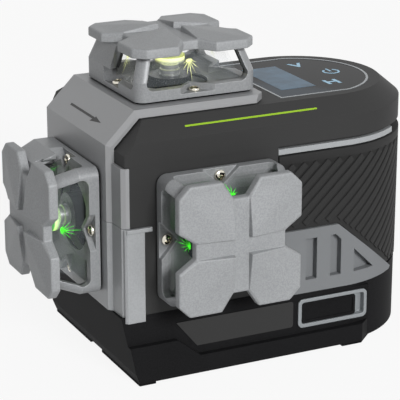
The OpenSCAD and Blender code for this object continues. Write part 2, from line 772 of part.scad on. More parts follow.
module barrel_top() { at_top() laser_barrel(plate_top - pivot_z - 6); }
module barrel_front() { at_front() laser_barrel(-front_y - 14); }
module barrel_side() { at_side() laser_barrel(-plate_x - 14); }

base_shell();
rubber_feet();
tripod_insert();
upper_housing();
end_frame();
lower_guard();
grip_sleeve();
side_vents();
accent_strips();
lock_bezel();
label_plate();
control_panel();
panel_trim();
lcd_window();
main_board();
board_screws();
housing_screws();
chassis();
chassis_screws();
gimbal_ring();
gimbal_pins();
pendulum_pins();
pendulum_body();
counterweight();
trim_screws();
damper_plate();
lock_knob();
lock_plunger();
battery_pack();
battery_contacts();
battery_door();
door_pin();
charge_socket();
port_cover();
port_pin();
at_top()  // head_frame_top
    head_frame([open_window, open_window, [-1, window_half], open_window]);
at_front() head_frame();  // head_frame_front
at_side()  // head_frame_side
    head_frame([[-window_half, -1], open_window, open_window, open_window]);
at_top() head_cap();  // head_cap_top
at_front() head_cap();  // head_cap_front
at_side() head_cap();  // head_cap_side
at_top() head_gasket();  // head_gasket_top
at_front() head_gasket();  // head_gasket_front
at_side() head_gasket();  // head_gasket_side
at_top() head_screws();  // head_screws_top
at_front() head_screws();  // head_screws_front
at_side() head_screws();  // head_screws_side
at_top() window_glass();  // window_glass_top
at_front() window_glass();  // window_glass_front
at_side() window_glass();  // window_glass_side
barrel_top();  // laser_barrel_top
barrel_front();  // laser_barrel_front
barrel_side();  // laser_barrel_side
at_top() lens_cell();  // lens_cell_top
at_front() lens_cell();  // lens_cell_front
at_side() lens_cell();  // lens_cell_side
at_top() cone_mirror();  // cone_mirror_top
at_front() cone_mirror();  // cone_mirror_front
at_side() cone_mirror();  // cone_mirror_side
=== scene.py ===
"""Looks of a self-levelling cross-line laser level, built around its CAD frame.

Sizes are millimetres in the code and metres in Blender.
"""
import math

import bmesh
import bpy
from bpy.props import FloatProperty, FloatVectorProperty, PointerProperty
from mathutils import Matrix, Vector


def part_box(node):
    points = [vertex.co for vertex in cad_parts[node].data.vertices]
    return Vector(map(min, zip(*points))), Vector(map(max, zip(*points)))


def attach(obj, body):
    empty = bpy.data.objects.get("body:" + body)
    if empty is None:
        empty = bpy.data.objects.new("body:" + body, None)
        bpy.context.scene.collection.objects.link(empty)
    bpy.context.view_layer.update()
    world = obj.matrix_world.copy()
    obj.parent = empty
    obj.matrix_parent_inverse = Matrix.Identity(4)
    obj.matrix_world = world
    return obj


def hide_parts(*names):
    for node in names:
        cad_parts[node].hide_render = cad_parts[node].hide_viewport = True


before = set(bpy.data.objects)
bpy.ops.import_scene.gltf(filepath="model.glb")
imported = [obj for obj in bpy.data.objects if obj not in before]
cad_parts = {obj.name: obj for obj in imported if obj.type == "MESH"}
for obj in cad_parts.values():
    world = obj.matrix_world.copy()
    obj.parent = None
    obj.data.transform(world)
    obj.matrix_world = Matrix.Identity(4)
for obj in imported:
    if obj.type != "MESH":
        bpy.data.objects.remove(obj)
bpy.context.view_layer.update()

bl_info = {
    "name": "Laser level looks",
    "version": (1, 0, 0),
    "blender": (4, 5, 0),
    "location": "View3D > Sidebar > Laser level",
    "description": "Finishes, caps, grip ribs, screws, signs and studio of a laser level",
    "category": "Object",
}

MM = 0.001
HEADS = ("top", "front", "side")
# Millimetres: the grip's round end, the vent slots, a head frame's hollow and its screws
ROUND_END_X = 58.5
SLOT_FLOOR, VENT_FACE = 40.2, 41.7
HOLLOW_HALF, HOLLOW_LEAN, SILL_TOP = 23.1, 0.34, 8.0
SCREW_REACH, LEDGE_TOP, SCREW_HEAD = 22.4, 2.62, 1.7


# ---------- shader maths ----------


class Field:
    """A value that varies over a surface, written with the usual signs."""

    def __init__(self, paint, socket):
        self.paint, self.socket = paint, socket

    def calc(self, operation, *values, clamp=False):
        settings = {"operation": operation, "use_clamp": clamp}
        return self.paint.node("ShaderNodeMath", settings, dict(enumerate(values)))

    def __add__(self, other):
        return self.calc("ADD", self, other)

    def __sub__(self, other):
        return self.calc("SUBTRACT", self, other)

    def __rsub__(self, other):
        return self.calc("SUBTRACT", other, self)

    def __mul__(self, other):
        return self.calc("MULTIPLY", self, other)

    __radd__ = __add__
    __rmul__ = __mul__

    def power(self, exponent):
        return self.calc("POWER", self, exponent)

    def clamped(self):
        return self.calc("ADD", self, 0.0, clamp=True)

    def ramp(self, low, high):
        """0 below low, 1 above high and smooth between."""
        values = {"Value": self, "From Min": low, "From Max": high}
        return self.paint.node("ShaderNodeMapRange", {"interpolation_type": "SMOOTHSTEP"}, values)


class Paint:
    """One procedural material while it is put together."""

    def __init__(self, name):
        self.material = bpy.data.materials.new(name)
        self.material.use_nodes = True
        self.tree = self.material.node_tree
        self.tree.nodes.clear()
        self.place = self.node("ShaderNodeTexCoord", output="Object")

    def node(self, kind, settings=None, sockets=None, output=0):
        made = self.tree.nodes.new(kind)
        for key, value in (settings or {}).items():
            setattr(made, key, value)
        for key, value in (sockets or {}).items():
            if isinstance(value, Field):
                self.tree.links.new(value.socket, made.inputs[key])
            else:
                made.inputs[key].default_value = value
        return Field(self, made.outputs[output])

    def noise(self, scale, detail=2.0, stretch=None):
        place = self.place
        if stretch:
            place = self.node("ShaderNodeMapping", {}, {"Vector": place, "Scale": stretch})
        return self.node("ShaderNodeTexNoise", {}, {"Vector": place, "Scale": scale, "Detail": detail})

    def axis(self, letter):
        return self.node("ShaderNodeSeparateXYZ", {}, {"Vector": self.place}, letter)

    def mix(self, share, first, second):
        return self.node("ShaderNodeMix", {"data_type": "RGBA"}, {0: share, 6: first, 7: second}, 2)

    def soft_edges(self, radius):
        """Normal with rounded edges, and a mask of where they are."""
        normal = self.node("ShaderNodeBevel", {"samples": 4}, {"Radius": radius * MM})
        flat = self.node("ShaderNodeNewGeometry", output="Normal")
        dot = self.node("ShaderNodeVectorMath", {"operation": "DOT_PRODUCT"}, {0: normal, 1: flat}, 1)
        return normal, ((1 - dot) * 7.0).clamped()

    def bump(self, height, depth, normal=None):
        sockets = {"Height": height, "Distance": depth * MM, "Strength": 1.0}
        if normal:
            sockets["Normal"] = normal
        return self.node("ShaderNodeBump", {}, sockets)

    def done(self, **sockets):
        named = {key.replace("_", " "): value for key, value in sockets.items()}
        shader = self.node("ShaderNodeBsdfPrincipled", {}, named, "BSDF")
        out = self.tree.nodes.new("ShaderNodeOutputMaterial")
        self.tree.links.new(shader.socket, out.inputs["Surface"])
        return self.material


def tone(code, alpha=1.0):
    """Linear colour of a written one such as 8f9193."""
    parts = [int(code[i:i + 2], 16) / 255 for i in (0, 2, 4)]
    return tuple(p / 12.92 if p <= 0.04045 else ((p + 0.055) / 1.055) ** 2.4 for p in parts) + (alpha,)


def scaled(colour, factor):
    return tuple(min(1.0, c * factor) for c in colour[:3]) + (1.0,)


# ---------- finishes ----------


def cage_painted_shade(head, seat):
    """Share of a head frame's inner walls, which get painted shade that darkens the casting's colour there.
    """
    def share(p):
        x, y, z = p.axis("X"), p.axis("Y"), p.axis("Z")
        if head == "top":
            a, b, out = x, y, (z - seat.z) * (1 / MM)
        elif head == "front":
            a, b, out = x, z - seat.z, (y - seat.y) * (-1 / MM)
        else:
            a, b, out = y, z - seat.z, (x - seat.x) * (-1 / MM)
        half = a.calc("MAXIMUM", a.calc("ABSOLUTE", a), b.calc("ABSOLUTE", b)) * (1 / MM)
        inner = HOLLOW_HALF - out.calc("MAXIMUM", out - SILL_TOP, 0.0) * HOLLOW_LEAN - half
        return inner.ramp(-0.3, 0.5) * out.ramp(4.0, SILL_TOP)
    return share


def slot_painted_shade(p):
    """Share of the vent slots' floors and walls, which get painted shade."""
    x = p.axis("X") - ROUND_END_X * MM
    x = x.calc("MAXIMUM", x, 0.0)
    y = p.axis("Y")
    reach = (x * x + y * y).power(0.5) * (1 / MM)
    return 1 - reach.ramp(SLOT_FLOOR, VENT_FACE)


def cast_silver(name, colour, grain=0.08, metallic=0.1, roughness=0.45, edge=1.5, radius=0.5, hollow=None):
    """Blasted and lacquered light-alloy casting with a painted highlight along its edges and, where given,
    painted shade in its hollows.
    """
    p = Paint(name)
    normal, edges = p.soft_edges(radius)
    speckle = p.noise(1700.0, 2.0)
    cloud = p.noise(55.0, 3.0)
    dark, light = scaled(colour, 1 - grain * 1.6), scaled(colour, 1 + grain * 1.6)
    base = p.mix(speckle.ramp(0.34, 0.66), dark, light)
    base = p.mix((cloud.ramp(0.3, 0.7)) * 0.25, base, scaled(colour, 0.9))
    # Painted highlight: the colour lightens along the edges; the edges are also a little smoother below.
    base = p.mix(edges * 0.55, base, scaled(colour, edge))
    # Painted shade: where a hollow share is given, the colour darkens to near black.
    if hollow:
        base = p.mix(hollow(p), base, tone("242526"))
    rough = roughness + (speckle - 0.5) * 0.18 - edges * 0.08
    return p.done(Base_Color=base, Metallic=metallic, Roughness=rough, Normal=p.bump(speckle, 0.035, normal),
                  Specular_IOR_Level=0.35)


def moulded_black(name, colour, roughness=0.5, grain=0.03, specular=0.2, edge=1.1, radius=0.45):
    """Spark-eroded black plastic: fine even grain, a faint painted highlight along its edges."""
    p = Paint(name)
    normal, edges = p.soft_edges(radius)
    texture = p.noise(1900.0, 3.0)
    cloud = p.noise(38.0, 2.0)
    base = p.mix(texture.ramp(0.35, 0.7), scaled(colour, 0.8), scaled(colour, 1.3))
    base = p.mix(cloud.ramp(0.35, 0.75) * 0.3, base, scaled(colour, 1.35))
    # Painted highlight: the colour lightens along the edges.
    base = p.mix(edges * 0.5, base, scaled(colour, edge))
    rough = roughness + (texture - 0.5) * 0.2 - edges * 0.06
    return p.done(Base_Color=base, Roughness=rough, Normal=p.bump(texture, grain, normal),
                  Specular_IOR_Level=specular, IOR=1.16)


def soft_rubber(name, colour):
    """Matt overmoulded rubber with a dusty bloom."""
    p = Paint(name)
    normal, edges = p.soft_edges(0.3)
    pores = p.noise(2600.0, 2.0)
    bloom = p.noise(70.0, 4.0)
    base = p.mix(bloom.ramp(0.4, 0.8) * 0.5, colour, scaled(colour, 1.5))
    # Painted highlight: the colour lightens along the edges.
    base = p.mix(edges * 0.4, base, scaled(colour, 1.7))
    rough = 0.62 + (pores - 0.5) * 0.16
    return p.done(Base_Color=base, Roughness=rough, Normal=p.bump(pores, 0.02, normal),
                  Specular_IOR_Level=0.2, IOR=1.16)


def turned_metal(name, colour, roughness=0.26, metallic=1.0):
    """Machined or plated metal with fine tool marks."""
    p = Paint(name)
    normal, edges = p.soft_edges(0.15)
    marks = p.noise(1400.0, 2.0)
    stain = p.noise(120.0, 3.0)
    base = p.mix(stain.ramp(0.35, 0.75) * 0.35, colour, scaled(colour, 0.72))
    # Painted highlight: the colour lightens along the edges.
    base = p.mix(edges * 0.4, base, scaled(colour, 1.25))
    rough = roughness + (marks - 0.5) * 0.22
    return p.done(Base_Color=base, Metallic=metallic, Roughness=rough, Normal=p.bump(marks, 0.008, normal))


def gloss_plate(name, colour):
    """Polished black cover plate with a few fine wipe marks."""
    p = Paint(name)
    normal, edges = p.soft_edges(0.25)
    wipe = p.noise(90.0, 3.0, stretch=(1.0, 1.0, 9.0))
    # Painted highlight: the black turns up to six times lighter along the edges.
    base = p.mix(edges * 0.5, colour, scaled(colour, 6.0))
    return p.done(Base_Color=base, Roughness=0.1 + wipe * 0.1, Normal=normal,
                  Specular_IOR_Level=0.2, IOR=1.2)


def smoked_glass(name):
    """Control cover: dark glass with painted reflections in soft slanting bands, stronger towards the right.
    """
    p = Paint(name)
    slant = p.axis("X") * 0.75 + p.axis("Y") * 0.66
    phase = slant * 78.0 + 0.35
    reflection_wave = phase.calc("SINE", phase)
    # Painted reflection: pale blue-grey bands across the dark colour, stronger towards the right.
    right = p.axis("X").ramp(0.060, 0.092)
    band = reflection_wave.ramp(0.25, 1.0) * (0.30 + right * 0.55)
    base = p.mix(band.clamped(), tone("0a0c0f"), tone("64788a"))
    dust = p.noise(900.0, 2.0)
    return p.done(Base_Color=base, Roughness=0.07 + dust * 0.06, Specular_IOR_Level=0.25, IOR=1.14)


def lit_display(name, colour):
    """Backlit liquid-crystal window, a little uneven."""
    p = Paint(name)
    uneven = p.noise(110.0, 3.0)
    base = p.mix(uneven.ramp(0.3, 0.72), scaled(colour, 0.42), scaled(colour, 0.62))
    glow = p.mix(uneven.ramp(0.3, 0.72), scaled(colour, 0.5), scaled(colour, 0.9))
    return p.done(Base_Color=base, Emission_Color=glow, Emission_Strength=0.1, Roughness=0.16, IOR=1.15)


def printed_ink(name, colour, glow=0.0):
    """Screen-printed ink with slightly ragged cover."""
    p = Paint(name)
    cover = p.noise(2400.0, 2.0)
    base = p.mix(cover.ramp(0.25, 0.6), scaled(colour, 0.82), colour)
    return p.done(Base_Color=base, Roughness=0.4 + cover * 0.15, Emission_Color=base, Emission_Strength=glow)


def clear_pane(name):
    """Thin anti-glare window pane."""
    p = Paint(name)
    film = p.noise(60.0, 2.0)
    return p.done(Base_Color=tone("dfeaf0"), Roughness=0.04 + film * 0.04, Alpha=0.02 + film * 0.04)


def beam_glass(name, axis, seat, sign, core, rim):
    """Glass and mirror of a beam exit that the beam lights up, brightest at the mirror's rim."""
    p = Paint(name)
    height = (p.axis(axis) - seat) * (sign / MM)
    lit = height.ramp(8.4, 11.2)
    mirror = height.ramp(11.2, 11.9)
    glow = p.mix(lit.power(1.6), scaled(rim, 0.04), core)
    glow = p.mix(mirror, glow, scaled(rim, 0.5))
    base = p.mix(mirror, tone("c9d2d4"), tone("70757a"))
    alpha = (0.05 + lit * 0.85 + mirror).clamped()
    return p.done(Base_Color=base, Roughness=0.12, Alpha=alpha, Emission_Color=glow, Emission_Strength=1.3)


def glare(name, colour):
    """Light scattered where a beam crosses a pane."""
    p = Paint(name)
    flicker = p.noise(420.0, 2.0)
    tint = p.mix(flicker.ramp(0.3, 0.7), scaled(colour, 0.8), colour)
    alpha = 0.45 + flicker.ramp(0.35, 0.7) * 0.35
    return p.done(Base_Color=tint, Roughness=0.5, Alpha=alpha, Emission_Color=tint, Emission_Strength=0.9)


def circuit_board(name):
    """Green solder mask with darker copper runs under it."""
    p = Paint(name)
    runs = p.node("ShaderNodeTexVoronoi", {"feature": "DISTANCE_TO_EDGE"},
                  {"Vector": p.place, "Scale": 260.0})
    base = p.mix(runs.ramp(0.02, 0.09), tone("2f7a4e"), tone("17502f"))
    return p.done(Base_Color=base, Roughness=0.35, Normal=p.bump(runs, 0.02))


def cell_wrap(name):
    """Heat-shrunk battery sleeve with light mottling and creases."""
    p = Paint(name)
    crease = p.noise(240.0, 3.0)
    base = p.mix(crease.ramp(0.4, 0.8) * 0.5, tone("2b4d7c"), tone("4a70a3"))
    return p.done(Base_Color=base, Roughness=0.3 + crease * 0.2, Normal=p.bump(crease, 0.05))


CAD_FINISHES = {
    "upper_housing": "housing_black", "base_shell": "base_black", "rubber_feet": "foot_rubber",
    "grip_sleeve": "grip_rubber", "battery_door": "base_black", "port_cover": "foot_rubber",
    "end_frame": "frame_silver", "lower_guard": "guard_silver", "side_vents": "vent_grey",
    "lock_bezel": "bezel_grey", "accent_strips": "strip_silver", "panel_trim": "trim_grey",
    "label_plate": "gloss_black", "control_panel": "smoked_glass", "lcd_window": "display_blue",
    "lock_knob": "knob_black", "main_board": "board_green", "battery_pack": "cell_blue",
    "battery_contacts": "contact_gold", "tripod_insert": "brass", "counterweight": "brass",
    "charge_socket": "inner_steel", "chassis": "inner_alloy", "damper_plate": "dark_steel",
    "lock_plunger": "inner_steel", "gimbal_ring": "inner_alloy", "gimbal_pins": "inner_steel",
    "pendulum_pins": "inner_steel", "pendulum_body": "dark_steel", "trim_screws": "inner_steel",
    "door_pin": "inner_steel", "port_pin": "inner_steel", "housing_screws": "screw_nickel",
    "board_screws": "screw_nickel", "chassis_screws": "screw_nickel",
}
HEAD_FINISHES = {
    "head_frame": "head_silver", "head_cap": "cap_silver", "head_gasket": "gasket_black",
    "head_screws": "screw_nickel", "window_glass": "clear_pane", "laser_barrel": "barrel_black",
    "lens_cell": "lens_metal", "cone_mirror": "beam_glass",
}


def head_seat(head):
    """Where a head stands on the body: local x and y across it, local z outwards, in metres."""
    low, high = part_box("head_gasket_" + head)
    middle = (low + high) / 2
    if head == "top":
        return Matrix.Translation((middle.x, middle.y, low.z))
    if head == "front":
        return Matrix.Translation((middle.x, high.y, middle.z)) @ Matrix.Rotation(math.radians(90), 4, "X")
    return Matrix.Translation((high.x, middle.y, middle.z)) @ Matrix.Rotation(math.radians(-90), 4, "Y")


def make_finishes(c):
    """Every material of the level, by name."""
    silver, black = tuple(c.cast_silver), tuple(c.moulded_black)
    top, front, side = (head_seat(h).translation for h in HEADS)
    warm, green = tone("f4f7a0"), tone("3fe32a")
    return {m.name: m for m in (
        cast_silver("cap_silver", silver, grain=0.06, metallic=0.1, roughness=0.5, radius=0.35),
        *(cast_silver("head_silver_" + h, scaled(silver, 0.86), grain=0.05, metallic=0.12, roughness=0.4,
                      edge=2.0, hollow=cage_painted_shade(h, s)) for h, s in zip(HEADS, (top, front, side))),
        cast_silver("frame_silver", tone("9a9c9e"), grain=0.025, metallic=0.12, roughness=0.4, edge=1.7),
        cast_silver("guard_silver", tone("a3a5a7"), grain=0.03, metallic=0.12, roughness=0.4, edge=1.5),
        cast_silver("vent_grey", tone("6b6f73"), grain=0.02, metallic=0.1, roughness=0.42, edge=1.5,
                    radius=0.35, hollow=slot_painted_shade),
        cast_silver("bezel_grey", tone("8f9396"), grain=0.02, metallic=0.15, roughness=0.35, edge=1.6),
        cast_silver("strip_silver", tone("a6a9ab"), grain=0.02, metallic=0.15, roughness=0.4, radius=0.25),
        cast_silver("trim_grey", tone("8b9094"), grain=0.02, metallic=0.5, roughness=0.25, radius=0.15),
        moulded_black("housing_black", black, roughness=0.52),
        moulded_black("base_black", scaled(black, 1.05), roughness=0.55, grain=0.035),
        moulded_black("knob_black", tone("1a1a1b"), roughness=0.48, radius=0.3),
        moulded_black("gasket_black", tone("0c0c0d"), roughness=0.7),
        soft_rubber("grip_rubber", tuple(c.grip_rubber)),
        soft_rubber("foot_rubber", tone("151516")),
        turned_metal("barrel_black", tone("2a2b2d"), roughness=0.3, metallic=0.6),
        turned_metal("lens_metal", tone("b4b7ba"), roughness=0.2, metallic=0.9),
        turned_metal("screw_nickel", tone("cfc8b4"), roughness=0.22),
        turned_metal("inner_steel", tone("b9bbbd"), roughness=0.3),
        turned_metal("inner_alloy", tone("85888b"), roughness=0.42, metallic=0.8),
        turned_metal("dark_steel", tone("4c4f52"), roughness=0.4, metallic=0.8),
        turned_metal("brass", tone("b9963f"), roughness=0.3),
        turned_metal("contact_gold", tone("c8a24a"), roughness=0.25),
        gloss_plate("gloss_black", tone("050506")),
        smoked_glass("smoked_glass"),
        lit_display("display_blue", tuple(c.display_blue)),
        printed_ink("sign_blue", tone("9cc4dc"), glow=0.25),
        # The pinstripe's faint glow is painted light: it is printed ink with no lamp behind it.
        printed_ink("stripe_green", tuple(c.stripe_green), glow=0.08),
        printed_ink("arrow_black", tone("0b0b0c")),
        clear_pane("clear_pane"),
        glare("glare_green", tone("49f52e")),
        glare("glare_warm", tone("f2f7a8")),
        beam_glass("beam_glass_top", "Z", top.z, 1.0, warm, tone("d9e36a")),
        beam_glass("beam_glass_front", "Y", front.y, -1.0, green, tone("1fae1a")),
        beam_glass("beam_glass_side", "X", side.x, -1.0, tone("b7ef5a"), tone("2fbf22")),
        circuit_board("board_green"),
        cell_wrap("cell_blue"),
    )}


def finish_of(name):
    found = bpy.data.materials.get(name)
    if found is None:
        raise RuntimeError("finish " + name + " hasn't been made yet")
    return found


# ---------- shapes ----------


def new_piece(name, mesh, finish, body="body", sharp=35.0):
    """A finished piece at the origin that rides on a body."""
    piece = bpy.data.objects.new(name, mesh)
    bpy.context.scene.collection.objects.link(piece)
    mesh.materials.clear()
    mesh.materials.append(finish_of(finish))
    for face in mesh.polygons:
        face.use_smooth = True
    mesh.set_sharp_from_angle(angle=math.radians(sharp))
    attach(piece, body)
    return piece


def rounded(points, radii, steps=4):
    """A closed outline with each corner rounded to its own radius."""
    out, n = [], len(points)
    for i, here in enumerate(points):
        here, before, after = Vector(here), Vector(points[i - 1]), Vector(points[(i + 1) % n])
        a, b = (before - here).normalized(), (after - here).normalized()
        half = a.angle(b) / 2
        reach = radii[i] / math.tan(half)
        centre = here + (a + b).normalized() * (radii[i] / math.sin(half))
        start, end = here + a * reach - centre, here + b * reach - centre
        turn = start.angle_signed(end)
        for k in range(steps + 1):
            out.append(centre + Matrix.Rotation(-turn * k / steps, 2) @ start)
    return out


def inset(loop, distance):
    """The same outline moved inwards; it runs anticlockwise."""
    out, n = [], len(loop)
    for i, here in enumerate(loop):
        a, b = (here - loop[i - 1]).normalized(), (loop[(i + 1) % n] - here).normalized()
        left = (Vector((-a.y, a.x)) + Vector((-b.y, b.x))).normalized()
        out.append(here + left * distance / max(0.4, left.dot(Vector((-a.y, a.x)))))
    return out


def stacked(bm, layers):
    """Walls through outlines of equal length, and a floor under the first. Returns the last ring."""
    rings = [[bm.verts.new((p.x, p.y, z)) for p in loop] for loop, z in layers]
    for lower, upper in zip(rings, rings[1:]):
        for i in range(len(lower)):
            j = (i + 1) % len(lower)
            bm.faces.new((lower[i], lower[j], upper[j], upper[i]))
    bm.faces.new(list(reversed(rings[0])))
    return rings[-1]


def turned(bm, profile, steps):
    """A closed body of revolution about Z through (radius, height) points."""
    rings = []
    for r, z in profile:
        if r == 0.0:
            rings.append([bm.verts.new((0, 0, z))])
        else:
            rings.append([bm.verts.new((r * math.cos(2 * math.pi * k / steps),
                                        r * math.sin(2 * math.pi * k / steps), z)) for k in range(steps)])
    for low, high in zip(rings, rings[1:]):
        for k in range(steps):
            j = (k + 1) % steps
            ring = [low[k % len(low)], low[j % len(low)], high[j % len(high)], high[k % len(high)]]
            bm.faces.new(list(dict.fromkeys(ring)))


def to_mesh(bm, name, place):
    mesh = bpy.data.meshes.new(name)
    bm.transform(place @ Matrix.Scale(MM, 4))
    bmesh.ops.recalc_face_normals(bm, faces=bm.faces)
    bm.to_mesh(mesh)
    bm.free()
    return mesh


def flat_sign(name, outline, thickness, place, finish):
    """A thin printed or inlaid sign from one outline."""
    bm = bmesh.new()
    loop = [Vector(p) for p in outline]
    ring = stacked(bm, [(loop, 0.0), (loop, thickness)])
    bm.faces.new(ring)
    return new_piece(name, to_mesh(bm, name, place), finish)


def cap_mesh(name, place, sizes):
    """Clover cap: cut corners, a notch in each side, and four lobes that rise to the centre channel."""
    half, corner, depth = 26.0, 4.6, 7.0
    mouth, foot, rim = 7.9, 3.1, 21.6
    quarter = [(half - corner, half), (mouth, half), (foot, half - depth), (-foot, half - depth),
               (-mouth, half), (corner - half, half)]
    points, radii = [], []
    for turn in (0, 90, 180, 270):
        spin = Matrix.Rotation(math.radians(turn), 2)
        points += [tuple(spin @ Vector(p)) for p in quarter]
        radii += [1.6, 1.1, 0.8, 0.8, 1.1, 1.6]
    outline = rounded(points, radii)
    bm = bmesh.new()
    ring = stacked(bm, [(inset(outline, d), z) for d, z in (
        (0.5, 17.75), (0.15, 17.85), (0.0, 18.15), (0.0, 20.75), (0.12, 21.15), (0.45, 21.48), (0.95, rim))])
    top = bm.faces.new(ring)
    faces = [top]
    channel = sizes.channel_width / MM / 2
    cuts = [channel, channel + 0.3, channel + 0.55] + [channel + 0.55 + 1.3 * i for i in range(1, 18)]
    planes = [((s * c, 0, 0), (1, 0, 0)) for c in cuts for s in (1, -1)]
    planes += [((0, s * c, 0), (0, 1, 0)) for c in cuts for s in (1, -1)]
    planes += [((0, 0, 0), (1, 1, 0)), ((0, 0, 0), (1, -1, 0))]
    for co, no in planes:
        geom = list({v for f in faces for v in f.verts} | {e for f in faces for e in f.edges}) + faces
        bmesh.ops.bisect_plane(bm, geom=geom, plane_co=co, plane_no=no, dist=1e-5)
        faces = [f for f in bm.faces if abs(f.normal.z) > 0.99 and min(v.co.z for v in f.verts) > rim - 0.01]
    rise, reach = sizes.cap_rise / MM, 22.6
    for v in {v for f in faces for v in f.verts}:
        u, w = abs(v.co.x), abs(v.co.y)
        if min(u, w) > channel + 0.05:
            far = (u + w + math.sqrt((u - w) ** 2 + 0.7)) / 2
            slope = max(0.0, (reach - far) / (reach - channel))
            v.co.z += rise * slope * (0.86 if min(u, w) < channel + 0.4 else 1.0)
    return to_mesh(bm, name, place)


# ---------- geometry nodes ----------


def new_tree(name, inputs):
    """A geometry node group with named inputs, and a short way to add its nodes."""
    tree = bpy.data.node_groups.new(name, "GeometryNodeTree")
    tree.interface.new_socket("Geometry", in_out="INPUT", socket_type="NodeSocketGeometry")
    for label, kind in inputs:
        tree.interface.new_socket(label, in_out="INPUT", socket_type=kind)
    tree.interface.new_socket("Geometry", in_out="OUTPUT", socket_type="NodeSocketGeometry")
    source, target = tree.nodes.new("NodeGroupInput"), tree.nodes.new("NodeGroupOutput")

    def add(kind, settings=None, sockets=None):
        made = tree.nodes.new(kind)
        for key, value in (settings or {}).items():
            setattr(made, key, value)
        for key, value in (sockets or {}).items():
            if isinstance(value, bpy.types.NodeSocket):
                tree.links.new(value, made.inputs[key])
            else:
                made.inputs[key].default_value = value
        return made.outputs

    return tree, source.outputs, target.inputs, add


def grown(piece_name, guide, tree, values):
    """The plain mesh that a tree makes of a guide mesh."""
    holder = bpy.data.objects.new(piece_name + "_guide", guide)
    bpy.context.scene.collection.objects.link(holder)
    modifier = holder.modifiers.new("grow", "NODES")
    modifier.node_group = tree
    sockets = {i.name: i.identifier for i in tree.interface.items_tree if i.in_out == "INPUT"}
    for label, value in values.items():
        modifier[sockets[label]] = value
    bpy.context.view_layer.update()
    shown = holder.evaluated_get(bpy.context.evaluated_depsgraph_get())
    mesh = bpy.data.meshes.new_from_object(shown)
    mesh.name = piece_name
    holder.modifiers.remove(modifier)
    bpy.data.objects.remove(holder)
    if not mesh.polygons:
        raise RuntimeError(piece_name + " came out empty")
    return mesh


def rib_tree():
    """Soft-edged bars swept along guide lines on the grip."""
    tree, given, result, add = new_tree("Grip ribs", [
        ("Rib width", "NodeSocketFloat"), ("Rib depth", "NodeSocketFloat"),
        ("Edge radius", "NodeSocketFloat"), ("Finish", "NodeSocketMaterial")])
    line = add("GeometryNodeMeshToCurve", {}, {"Mesh": given["Geometry"]})
    line = add("GeometryNodeSetCurveNormal", {"mode": "Z_UP"}, {"Curve": line["Curve"]})
    bar = add("GeometryNodeCurvePrimitiveQuadrilateral", {},
              {"Width": given["Rib depth"], "Height": given["Rib width"]})
    bar = add("GeometryNodeFilletCurve", {}, {"Curve": bar["Curve"], "Radius": given["Edge radius"]})
    swept = add("GeometryNodeCurveToMesh", {}, {"Curve": line["Curve"], "Profile Curve": bar["Curve"],
                                              "Fill Caps": True})
    plain = add("GeometryNodeRealizeInstances", {}, {"Geometry": swept["Mesh"]})
    coated = add("GeometryNodeSetMaterial", {}, {"Geometry": plain["Geometry"], "Material": given["Finish"]})
    tree.links.new(coated["Geometry"], result["Geometry"])
    return tree


def screw_tree():
    """One screw on every guide point, turned to the point's direction and given its own twist."""
    tree, given, result, add = new_tree("Screws", [
        ("Screw", "NodeSocketObject"), ("Size", "NodeSocketFloat"), ("Seed", "NodeSocketInt"),
        ("Finish", "NodeSocketMaterial")])
    shape = add("GeometryNodeObjectInfo", {"transform_space": "ORIGINAL"}, {"Object": given["Screw"]})
    out = add("GeometryNodeInputNamedAttribute", {"data_type": "FLOAT_VECTOR"}, {"Name": "outwards"})
    turn = add("FunctionNodeAlignRotationToVector", {"axis": "Z"}, {"Vector": out["Attribute"]})
    twist = add("FunctionNodeRandomValue", {"data_type": "FLOAT"},
                {2: 0.0, 3: 1.57, "Seed": given["Seed"]})
    spin = add("ShaderNodeCombineXYZ", {}, {"Z": twist[1]})
    both = add("FunctionNodeRotateRotation", {"rotation_space": "LOCAL"},
               {"Rotation": turn["Rotation"], "Rotate By": spin["Vector"]})
    placed = add("GeometryNodeInstanceOnPoints", {}, {"Points": given["Geometry"],
                 "Instance": shape["Geometry"], "Rotation": both["Rotation"], "Scale": given["Size"]})
    plain = add("GeometryNodeRealizeInstances", {}, {"Geometry": placed["Instances"]})
    coated = add("GeometryNodeSetMaterial", {}, {"Geometry": plain["Geometry"], "Material": given["Finish"]})
    tree.links.new(coated["Geometry"], result["Geometry"])
    return tree


def screw_shape(head_r, head_t):
    """Pan-head screw with a tapered cross recess, standing on z = 0, in metres."""
    bm = bmesh.new()
    profile = [(0.0, 0.0), (0.93 * head_r, 0.0), (head_r, 0.12 * head_t), (head_r, 0.5 * head_t)]
    profile += [(head_r * math.cos(a), head_t * (0.5 + 0.42 * math.sin(a))) for a in
                [math.radians(d) for d in (12, 26, 40, 54, 68, 80)]]
    profile.append((0.0, 0.93 * head_t))
    turned(bm, profile, 32)
    head = bpy.data.objects.new("screw_head", to_mesh(bm, "screw_head", Matrix.Identity(4)))
    bm = bmesh.new()
    wide, slim = 0.68 * head_r, 0.19 * head_r
    cross = [(slim, wide), (-slim, wide), (-slim, slim), (-wide, slim), (-wide, -slim), (-slim, -slim),
             (-slim, -wide), (slim, -wide), (slim, -slim), (wide, -slim), (wide, slim), (slim, slim)]
    small = [Vector(p) * 0.7 for p in cross]
    ring = stacked(bm, [(small, 0.22 * head_t), ([Vector(p) * 1.1 for p in cross], 1.2 * head_t)])
    bm.faces.new(ring)
    tool = bpy.data.objects.new("screw_tool", to_mesh(bm, "screw_tool", Matrix.Identity(4)))
    for o in (head, tool):
        bpy.context.scene.collection.objects.link(o)
    cut = head.modifiers.new("recess", "BOOLEAN")
    cut.operation, cut.object, cut.solver = "DIFFERENCE", tool, "EXACT"
    bpy.context.view_layer.update()
    mesh = bpy.data.meshes.new_from_object(head.evaluated_get(bpy.context.evaluated_depsgraph_get()))
    head.modifiers.remove(cut)
    head.data = mesh
    bpy.data.objects.remove(tool)
    return head


